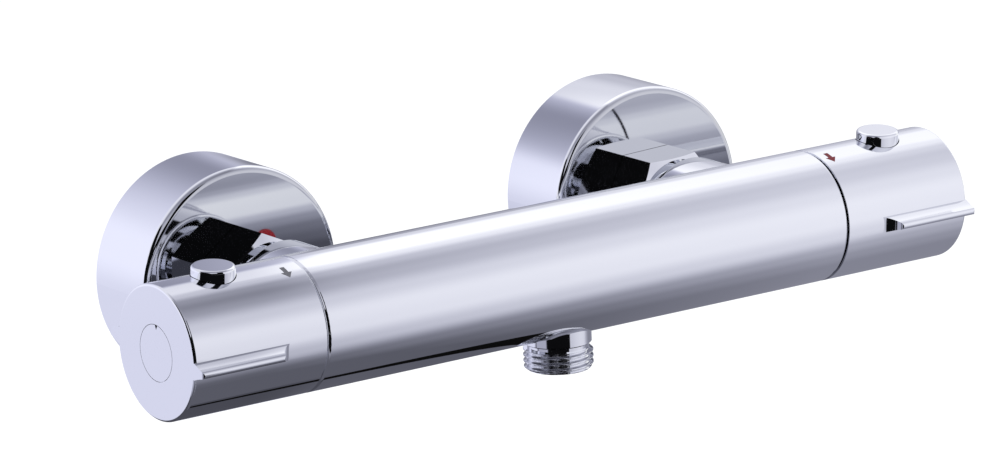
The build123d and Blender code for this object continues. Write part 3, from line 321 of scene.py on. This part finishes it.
# Along the tent the bands fall off towards the left: they are raised to a power that changes with x. What
# the left handle mirrors is dimmer as well
FALL_OFF_PLACES = (0.06, 0.11, 0.16, 0.23, 0.30)
FALL_OFF_POWERS = (1.9, 1.52, 1.24, 0.98, 0.78)
DARKEST = 0.112
LEFT_DIMMING = 0.35

# The grey valley behind the rosettes: its widths to the right and to the left of its middle, how much
# narrower it is on the left lower down, and how much darker near the bottom
VALLEY_X = 0.025
VALLEY_TONE = 0.30
VALLEY_RISE = 0.65
VALLEY_RIGHT = 0.085
VALLEY_LEFT = 0.17
VALLEY_NARROWING = 0.08
VALLEY_DIMMING = 0.2

# The black patches in front, where the camera, its stand and the dark end of the studio are, and the grey
# strip low down on the left. The patch above the camera starts at the brow, which is lower on the left
BLACK = 0.004
STRIP_TONE = 0.42
BROW = 31
BROW_DROP = 26
BROW_DROP_PLACES = (-0.14, -0.17)
BROW_EDGE = 5

# Edges of each patch along x, in metres, and round the bar, in degrees: a pair says where the patch starts
# to show and where it shows in full
LEFT_DIM_EDGES = ([(0.10, 0.062)], [(45, 0)])
VALLEY_EDGES = ([(0.105, 0.075)], [(-126, -119), (-42, -53)])
VALLEY_NARROW_EDGE = (-62, -77)
VALLEY_DIM_EDGE = (-85, -107)
BELOW_CAMERA_EDGES = ([(0.036, 0.022), (-0.56, -0.50)], [(97, 100), (130, 126)])
ABOVE_CAMERA_EDGES = ([(-0.01, -0.03)], [(101, 98)])
LEFT_FRONT_EDGES = ([(-0.35, -0.38)], [(-24, -18), (138, 134)])
LOW_STRIP_EDGES = ([(-0.50, -0.54)], [(136, 142)])
BACK_STRIP_EDGES = ([(-0.50, -0.54)], [(-124, -130)])

# A tone's blue is above its red by this share, less so the brighter it is, and more so in the valley
BLUE_SHARE = 0.29
BLUE_LOSS = 0.22
VALLEY_BLUE = 0.1
COOL_TINT = np.array([0.0, 0.05, 1.0])

# Rows of the tent: few far out, and close ones where its tones change
TENT_COLUMNS = 241
TENT_ROWS = (
    np.linspace(-TENT_LENGTH / 2, -0.51, 70),
    np.linspace(-0.50, 0.35, 214),
    np.linspace(0.36, TENT_LENGTH / 2, 12),
)

# The dark stand under the outlet, whose foot is nearer the wall than its top
STAND_RADIUS = 0.0085
STAND_TOP = -0.040
STAND_LEAN = 0.032
STAND_SIDES = 24


def soft(value, start, end):
    """0 at start, 1 at end, eased between them and level beyond."""
    share = np.clip((value - start) / (end - start), 0, 1)
    return share * share * (3 - 2 * share)


def patch(x, turn, edges):
    """1 inside a patch of the tent and 0 outside, eased at its edges."""
    along, around = edges
    share = 1.0
    for start, end in along:
        share = share * soft(x, start, end)
    for start, end in around:
        share = share * soft(turn, start, end)
    return share


def banded(x, turn):
    """Long bands along the tent: each eases into the next, and they are raised to the power that falls off
    along x."""
    band = np.clip(np.searchsorted(TENT_BANDS[:, 0], turn, side="right") - 1, 0, len(TENT_BANDS) - 2)
    ease = soft(turn, TENT_BANDS[band, 0], TENT_BANDS[band + 1, 0])
    tone = TENT_BANDS[band, 1] * (1 - ease) + TENT_BANDS[band + 1, 1] * ease
    tone = np.maximum(tone ** np.interp(x, FALL_OFF_PLACES, FALL_OFF_POWERS), DARKEST)
    return tone * (1 - LEFT_DIMMING * patch(x, turn, LEFT_DIM_EDGES))


def grey_valley(x, turn):
    """The tone behind the rosettes, a bell upside down: VALLEY_TONE in the middle, and VALLEY_RISE times
    1 - exp(-(distance / width) squared) more beside it."""
    left_width = VALLEY_LEFT - VALLEY_NARROWING * soft(turn, *VALLEY_NARROW_EDGE)
    width = np.where(x > VALLEY_X, VALLEY_RIGHT, left_width)
    tone = VALLEY_TONE + VALLEY_RISE * (1 - np.exp(-(((x - VALLEY_X) / width) ** 2)))
    return tone * (1 - VALLEY_DIMMING * soft(turn, *VALLEY_DIM_EDGE))


def black_share(x, turn):
    """1 in the black patches and 0 outside them."""
    brow = BROW + BROW_DROP * soft(x, *BROW_DROP_PLACES)
    above_camera = patch(x, turn, ABOVE_CAMERA_EDGES) * soft(turn - brow, 0, BROW_EDGE)
    below_camera = patch(x, turn, BELOW_CAMERA_EDGES)
    left_front = patch(x, turn, LEFT_FRONT_EDGES)
    return np.maximum.reduce([above_camera, below_camera, left_front])


def tent_tone(x, turn):
    """The light that the tent gives off at x along the bar and at an angle round it: the bands, then the
    valley, the black patches and the strip mixed in by their shares, and a cool tint."""
    valley = patch(x, turn, VALLEY_EDGES)
    black = black_share(x, turn)
    strip = np.maximum(patch(x, turn, LOW_STRIP_EDGES), patch(x, turn, BACK_STRIP_EDGES))
    tone = banded(x, turn) * (1 - valley) + grey_valley(x, turn) * valley
    tint = 1 + (BLUE_SHARE - BLUE_LOSS * tone + VALLEY_BLUE * valley)[:, None] * COOL_TINT
    tone = (tone * (1 - black) + BLACK * black) * (1 - strip) + STRIP_TONE * strip
    return tone[:, None] * tint


def for_reflections_only(piece):
    """Stage that the metal mirrors, but that the camera, the floor and the shadows don't see."""
    piece.visible_camera = False
    piece.visible_diffuse = False
    piece.visible_shadow = False


def glowing_material(name):
    """A material whose surface gives off light; returns it with its node tree and its emission shader."""
    material = bpy.data.materials.new(name)
    material.use_nodes = True
    tree = material.node_tree
    tree.nodes.remove(tree.nodes["Principled BSDF"])
    glow = tree.nodes.new("ShaderNodeEmission")
    tree.links.new(glow.outputs["Emission"], tree.nodes["Material Output"].inputs["Surface"])
    return material, tree, glow


def light_tent():
    """A tube round the bar, seen in reflections alone, that carries the light's tones at its points."""
    places = np.concatenate(TENT_ROWS)
    x = np.repeat(places, TENT_COLUMNS)
    turn = np.tile(np.linspace(-180, 180, TENT_COLUMNS), len(places))
    angle = np.radians(turn)
    points = np.column_stack([x, BAR_Y - TENT_RADIUS * np.sin(angle), BAR_Z + TENT_RADIUS * np.cos(angle)])
    tent = add_mesh("light_tent", points, grid_faces(len(places), TENT_COLUMNS))
    layer = tent.data.attributes.new("tone", "FLOAT_COLOR", "POINT")
    color = np.column_stack([tent_tone(x, turn), np.ones(len(x))])
    layer.data.foreach_set("color", color.astype(np.float32).ravel())
    material, tree, glow = glowing_material("tent_bands")
    attribute = tree.nodes.new("ShaderNodeAttribute")
    attribute.attribute_name = "tone"
    tree.links.new(attribute.outputs["Color"], glow.inputs["Color"])
    tent.data.materials.append(material)
    for_reflections_only(tent)


def dark_stand():
    """The dark stand that leans under the outlet, which the bar mirrors as a line, and the tent's dark left
    end: a ring of points at the foot and one at the top, and a square."""
    material, _, glow = glowing_material("stage_black")
    glow.inputs["Color"].default_value = (BLACK, BLACK, BLACK, 1.0)
    turn = np.linspace(0, 2 * math.pi, STAND_SIDES, endpoint=False)
    ring = np.column_stack([STAND_RADIUS * np.cos(turn), BAR_Y + STAND_RADIUS * np.sin(turn)])
    foot = np.column_stack([ring + (0, STAND_LEAN), np.full(STAND_SIDES, FLOOR_HEIGHT)])
    top = np.column_stack([ring, np.full(STAND_SIDES, STAND_TOP)])
    points = np.concatenate([foot, top])
    first = np.arange(STAND_SIDES)
    after = np.roll(first, -1)
    faces = np.column_stack([first, after, after + STAND_SIDES, first + STAND_SIDES])
    stand = add_mesh("stand", points, faces)
    corners = TENT_RADIUS * np.array([(-1, -1), (1, -1), (1, 1), (-1, 1)])
    end = np.column_stack([np.full(4, -TENT_LENGTH / 2), BAR_Y + corners[:, 0], BAR_Z + corners[:, 1]])
    left_end = add_mesh("left_end", end, np.array([[0, 1, 2, 3]]))
    for piece in (stand, left_end):
        piece.data.materials.append(material)
        for_reflections_only(piece)


def key_light():
    """One large soft lamp above and in front, which gives the floor its shadow and isn't mirrored."""
    lamp = bpy.data.lights.new("soft_key", "AREA")
    lamp.shape = "RECTANGLE"
    lamp.size, lamp.size_y = KEY_SIZE
    lamp.energy = KEY_WATTS
    holder = bpy.data.objects.new("soft_key", lamp)
    aim = Vector((0, BAR_Y, BAR_Z)) - KEY_PLACE
    turn = aim.to_track_quat("-Z", "Y").to_matrix().to_4x4()
    holder.matrix_world = Matrix.Translation(KEY_PLACE) @ turn
    holder.visible_glossy = False
    bpy.context.scene.collection.objects.link(holder)


def photo_camera():
    """A long lens from the left, above the bar, rolled as the photograph is."""
    a = math.radians(VIEW_AZIMUTH)
    e = math.radians(VIEW_ELEVATION)
    roll = math.radians(VIEW_ROLL)
    back = Vector((-math.sin(a) * math.cos(e), -math.cos(a) * math.cos(e), math.sin(e)))
    level = Vector((math.cos(a), -math.sin(a), 0))
    upright = back.cross(level)
    right = math.cos(roll) * level + math.sin(roll) * upright
    up = -math.sin(roll) * level + math.cos(roll) * upright
    data = bpy.data.cameras.new("photo_camera")
    data.sensor_width = SENSOR_WIDTH
    data.sensor_fit = "HORIZONTAL"
    data.lens = VIEW_FOCAL_PIXELS / IMAGE_WIDTH * SENSOR_WIDTH
    data.clip_start = 0.1
    data.clip_end = 30.0
    camera = bpy.data.objects.new("photo_camera", data)
    turn = Matrix((right, up, back)).transposed().to_4x4()
    camera.matrix_world = Matrix.Translation(VIEW_TARGET + back * VIEW_DISTANCE) @ turn
    bpy.context.scene.collection.objects.link(camera)
    bpy.context.scene.camera = camera


# Pipe threads: fourteen turns to the inch, 1.16 mm deep
PITCH = 0.001814
THREAD_DEPTH = 0.001162
THREAD_STEPS = 144
ROW_STEP = 0.00009
THREAD_CREST_SHARE = 0.12
THREAD_FLANK_SHARE = 0.76


def thread_cut(height, angle):
    """Depth of the thread below its crest: a V with rounded crest and root that climbs one pitch a turn."""
    phase = (height / PITCH - angle / (2 * math.pi)) % 1.0
    ramp = np.clip((np.abs(2 * phase - 1) - THREAD_CREST_SHARE) / THREAD_FLANK_SHARE, 0, 1)
    return THREAD_DEPTH * (0.5 * ramp + 0.5 * ramp * ramp * (3 - 2 * ramp))


def threaded_rows(start, end, crest, angle, chamfer):
    """Rows of a thread from start to end, with its crests cut off by a chamfer at the end."""
    count = int(abs(end - start) / ROW_STEP) + 1
    height = np.linspace(start, end, count)[:, None]
    radius = crest - thread_cut(height, angle[None, :])
    from_end = np.abs(end - height)
    return height[:, 0], np.minimum(radius, crest - chamfer + np.minimum(from_end, chamfer))


def plain_rows(corners, angle):
    """Rows of a turned profile through (height, radius) corners."""
    height, radius = np.array(corners).T
    return height, np.repeat(radius[:, None], len(angle), axis=1)


def hexagon_rows(heights, apothem, angle):
    """Rows of a hexagonal socket: the radius is the apothem over the cosine of the angle off a flat."""
    off_flat = (angle % (math.pi / 3)) - math.pi / 6
    radius = apothem / np.cos(off_flat)
    return np.array(heights), np.repeat(radius[None, :], len(heights), axis=0)


def ring_piece(name, rows, offsets, place):
    """A closed ring of rows round an upright axis, each row shifted by its offset; place turns it into the
    frame."""
    height = np.concatenate([row[0] for row in rows])
    radius = np.concatenate([row[1] for row in rows])
    columns = radius.shape[1]
    angle = np.linspace(0, 2 * math.pi, columns, endpoint=False)
    local = np.empty((len(height), columns, 3))
    local[..., 0] = radius * np.cos(angle) + offsets[:, None]
    local[..., 1] = radius * np.sin(angle)
    local[..., 2] = height[:, None]
    points = place(local.reshape(-1, 3))
    return add_mesh(name, points, outward(points, grid_faces(len(height), columns, ring=True)))


# Hose outlet, in heights above the bar's axis
OUTLET_TAIL_TOP = -0.01015
OUTLET_TAIL_RADIUS = 0.008
OUTLET_COLLAR_TOP = -0.01695
OUTLET_COLLAR_END = -0.02215
OUTLET_COLLAR_RADIUS = 0.0101
OUTLET_GROOVE_RADIUS = 0.0092
OUTLET_GROOVE_END = -0.02355
OUTLET_THREAD_RADIUS = 0.01048
OUTLET_END = -0.0300
OUTLET_CHAMFER = 0.0010
OUTLET_SOCKET_TOP = -0.0220
OUTLET_SOCKET_APOTHEM = 0.005
OUTLET_BORE_RADIUS = 0.0045
SOFT_EDGE = 0.0003


def threaded_outlet():
    """The hose outlet with its real thread: a turned ring with a socket for its key and the water bore."""
    angle = np.linspace(0, 2 * math.pi, THREAD_STEPS, endpoint=False)
    shoulder = [
        (OUTLET_TAIL_TOP, OUTLET_BORE_RADIUS),
        (OUTLET_TAIL_TOP, OUTLET_TAIL_RADIUS),
        (OUTLET_COLLAR_TOP, OUTLET_TAIL_RADIUS),
        (OUTLET_COLLAR_TOP, OUTLET_COLLAR_RADIUS),
        (OUTLET_COLLAR_END + SOFT_EDGE, OUTLET_COLLAR_RADIUS),
        (OUTLET_COLLAR_END, OUTLET_COLLAR_RADIUS - SOFT_EDGE),
        (OUTLET_COLLAR_END, OUTLET_GROOVE_RADIUS),
        (OUTLET_GROOVE_END, OUTLET_GROOVE_RADIUS),
    ]
    mouth = OUTLET_SOCKET_APOTHEM / math.cos(math.pi / 6) + SOFT_EDGE
    rows = [
        plain_rows(shoulder, angle),
        threaded_rows(OUTLET_GROOVE_END, OUTLET_END, OUTLET_THREAD_RADIUS, angle, OUTLET_CHAMFER),
        plain_rows([(OUTLET_END, mouth)], angle),
        hexagon_rows([OUTLET_END + SOFT_EDGE, OUTLET_SOCKET_TOP], OUTLET_SOCKET_APOTHEM, angle),
        plain_rows([(OUTLET_SOCKET_TOP, OUTLET_BORE_RADIUS)], angle),
    ]
    count = sum(len(row[0]) for row in rows)
    piece = ring_piece("threaded_outlet", rows, np.zeros(count), lambda p: p + (0, BAR_Y, BAR_Z))
    finish_piece(piece, "mixer", FINISHES["chrome"])
    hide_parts("hose_outlet")


# Eccentric unions, in depths behind the wall plane
UNION_FRONT = -0.0339
UNION_THREAD_END = -0.0160
UNION_SHOULDER = -0.0080
UNION_END = 0.0140
UNION_MIXER_RADIUS = 0.01322
UNION_WALL_RADIUS = 0.01048
UNION_MIDDLE_END_RADIUS = 0.01148
UNION_BORE_RADIUS = 0.0075
UNION_CHAMFER = 0.0008
INLET_X = 0.075


def eccentric_middle(angle):
    """Radius of the union's middle, seen from the mixer's axis: the farthest of a row of circles that
    shift and shrink steadily from the mixer's thread to the wall's thread."""
    share = np.linspace(0, 1, 41)[:, None]
    shift = -BAR_Z * share
    radius = UNION_MIXER_RADIUS + (UNION_MIDDLE_END_RADIUS - UNION_MIXER_RADIUS) * share
    reach = shift * np.cos(angle) + np.sqrt(radius**2 - (shift * np.sin(angle)) ** 2)
    return reach.max(axis=0)


def threaded_union(inlet, side):
    """An eccentric union with both its threads: G3/4 for the nut, an offset middle, and G1/2 for the wall."""
    angle = np.linspace(0, 2 * math.pi, THREAD_STEPS, endpoint=False)
    middle = np.repeat(eccentric_middle(angle)[None, :], 2, axis=0)
    mixer_end = -UNION_THREAD_END
    root = UNION_MIXER_RADIUS - THREAD_DEPTH
    rows = [
        plain_rows([(-UNION_FRONT, UNION_BORE_RADIUS), (-UNION_FRONT, root)], angle),
        threaded_rows(-UNION_FRONT, mixer_end, UNION_MIXER_RADIUS, angle, 0.0),
        (np.array([mixer_end, -UNION_SHOULDER]), middle),
        threaded_rows(-UNION_SHOULDER, -UNION_END, UNION_WALL_RADIUS, angle, UNION_CHAMFER),
        plain_rows([(-UNION_END, UNION_BORE_RADIUS), (-UNION_SHOULDER, UNION_BORE_RADIUS)], angle),
        plain_rows([(mixer_end, UNION_BORE_RADIUS)], angle),
    ]
    offsets = [0, 0, 0, -BAR_Z, -BAR_Z, 0]
    shift = np.concatenate([np.full(len(row[0]), offset) for row, offset in zip(rows, offsets)])

    def stand(p):
        """Turns the ring's height towards the room and its first direction upwards, at the inlet."""
        return np.column_stack([p[:, 1] + side * INLET_X, -p[:, 2], p[:, 0] + BAR_Z])

    piece = ring_piece(f"{inlet}_threaded_union", rows, shift, stand)
    finish_piece(piece, "mixer", FINISHES["brass"])
    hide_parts(f"{inlet}_eccentric_union")


# Springs under the push buttons, by their height above the bar's axis
BUTTON_UP = np.array([0, -0.087156, 0.996195])
BUTTON_X = 0.1210
SPRING_FOOT = 0.0068
SPRING_TOP = 0.02005
SPRING_WIRE = 0.00035
SPRING_RADIUS = 0.0030
SPRING_TURNS = 5
SPRING_STEPS = 60
SPRING_SIDES = 12
SPRING_CLOSING = 0.5


def button_spring(control, side):
    """A round wire along a helix. Its rise is the share s of the way less SPRING_CLOSING times sin(2 pi s) /
    (2 pi), so that the turns lie closer together at both ends. It moves with its control's body."""
    foot = np.array([side * BUTTON_X, BAR_Y, BAR_Z]) + SPRING_FOOT * BUTTON_UP
    height = SPRING_TOP - SPRING_FOOT
    length = height - 2 * SPRING_WIRE
    share = np.linspace(0, 1, SPRING_STEPS * SPRING_TURNS + 1)
    turn = 2 * math.pi * SPRING_TURNS * share
    rise = length * (share - SPRING_CLOSING * np.sin(2 * math.pi * share) / (2 * math.pi))
    across = np.array([1.0, 0.0, 0.0])
    beside = np.cross(BUTTON_UP, across)
    outwards = np.cos(turn)[:, None] * across + np.sin(turn)[:, None] * beside
    middle = foot + SPRING_RADIUS * outwards + (rise + SPRING_WIRE)[:, None] * BUTTON_UP
    along = np.gradient(middle, axis=0)
    along /= np.linalg.norm(along, axis=1)[:, None]
    upwards = np.cross(outwards, along)
    around = np.linspace(0, 2 * math.pi, SPRING_SIDES, endpoint=False)
    ring = np.cos(around)[:, None] * outwards[:, None] + np.sin(around)[:, None] * upwards[:, None]
    points = (middle[:, None] + SPRING_WIRE * ring).reshape(-1, 3)
    wire = grid_faces(len(share), SPRING_SIDES, ring=True)[:-SPRING_SIDES]
    faces = outward(points, wire)
    start = np.arange(SPRING_SIDES)
    ends = [start[::-1], start + len(points) - SPRING_SIDES]
    if faces is not wire:
        ends = [end[::-1] for end in ends]
    piece = add_mesh(f"{control}_wound_spring", points, faces, caps=[end.tolist() for end in ends])
    finish_piece(piece, f"{control}_control", FINISHES["stainless_steel"])
    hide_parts(f"{control}_button_spring")
    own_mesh(piece)


# Arrows printed on the handles: x, degrees round the bar from straight up, ink and colour
BAR_RADIUS = 0.02015
PRINT_HEIGHT = 0.00003
ARROW_LENGTH = 0.0050
ARROW_HEAD = 0.0023
ARROW_HEAD_WIDTH = 0.0036
ARROW_SHAFT_WIDTH = 0.0015
ARROW_ROWS = 25
ARROWS = {
    "flow": (-0.1005, 24.5, "arrow_grey", (0.13, 0.13, 0.15)),
    "temperature": (0.0985, 20.5, "arrow_red", (0.17, 0.008, 0.015)),
}


def printed_arrow(control, x, degrees, ink, color):
    """A small flat arrow laid round the handle, head towards the front: its outline is drawn along the arc
    and stands a few hundredths of a millimetre off the chrome."""
    tip = ARROW_LENGTH / 2
    neck = tip - ARROW_HEAD
    along = np.linspace(-tip, tip, ARROW_ROWS)
    shaft = np.full(ARROW_ROWS, ARROW_SHAFT_WIDTH / 2)
    head = (tip - along) / ARROW_HEAD * ARROW_HEAD_WIDTH / 2
    half = np.where(along < neck, shaft, head)
    along = np.insert(along, np.searchsorted(along, neck), [neck, neck])
    half = np.insert(half, np.searchsorted(along, neck), [ARROW_SHAFT_WIDTH / 2, ARROW_HEAD_WIDTH / 2])
    across = np.array([-1.0, 0.0, 1.0])
    turn = np.radians(degrees) + np.repeat(along, 3) / BAR_RADIUS
    side = np.tile(across, len(along)) * np.repeat(half, 3)
    sheets = []
    for radius in (BAR_RADIUS + PRINT_HEIGHT, BAR_RADIUS - PRINT_HEIGHT):
        laid = (BAR_Y - radius * np.sin(turn), BAR_Z + radius * np.cos(turn))
        sheets.append(np.column_stack([x + side, *laid]))
    count = len(along)
    top = grid_faces(count, 3)
    left = np.arange(count) * 3
    rim = np.concatenate([left, [count * 3 - 2], left[::-1] + 2, [1]])
    after = np.roll(rim, -1)
    lower = count * 3
    walls = np.column_stack([rim, after, after + lower, rim + lower])
    points = np.concatenate(sheets)
    faces = np.concatenate([top, top[:, ::-1] + lower, walls[:, ::-1]])
    piece = add_mesh(ink, points, outward(points, faces), smooth=False)
    material = moulded(ink, color, tuple(0.8 * value for value in color), 0.6, 0.000003)
    finish_piece(piece, f"{control}_control", material)


threaded_outlet()
for inlet, side in (("hot", -1), ("cold", 1)):
    threaded_union(inlet, side)
for control, side in (("flow", -1), ("temperature", 1)):
    button_spring(control, side)
for control, arrow in ARROWS.items():
    printed_arrow(control, *arrow)
studio_world()
studio_floor()
light_tent()
dark_stand()
key_light()
photo_camera()
bpy.context.scene.view_settings.view_transform = "Standard"
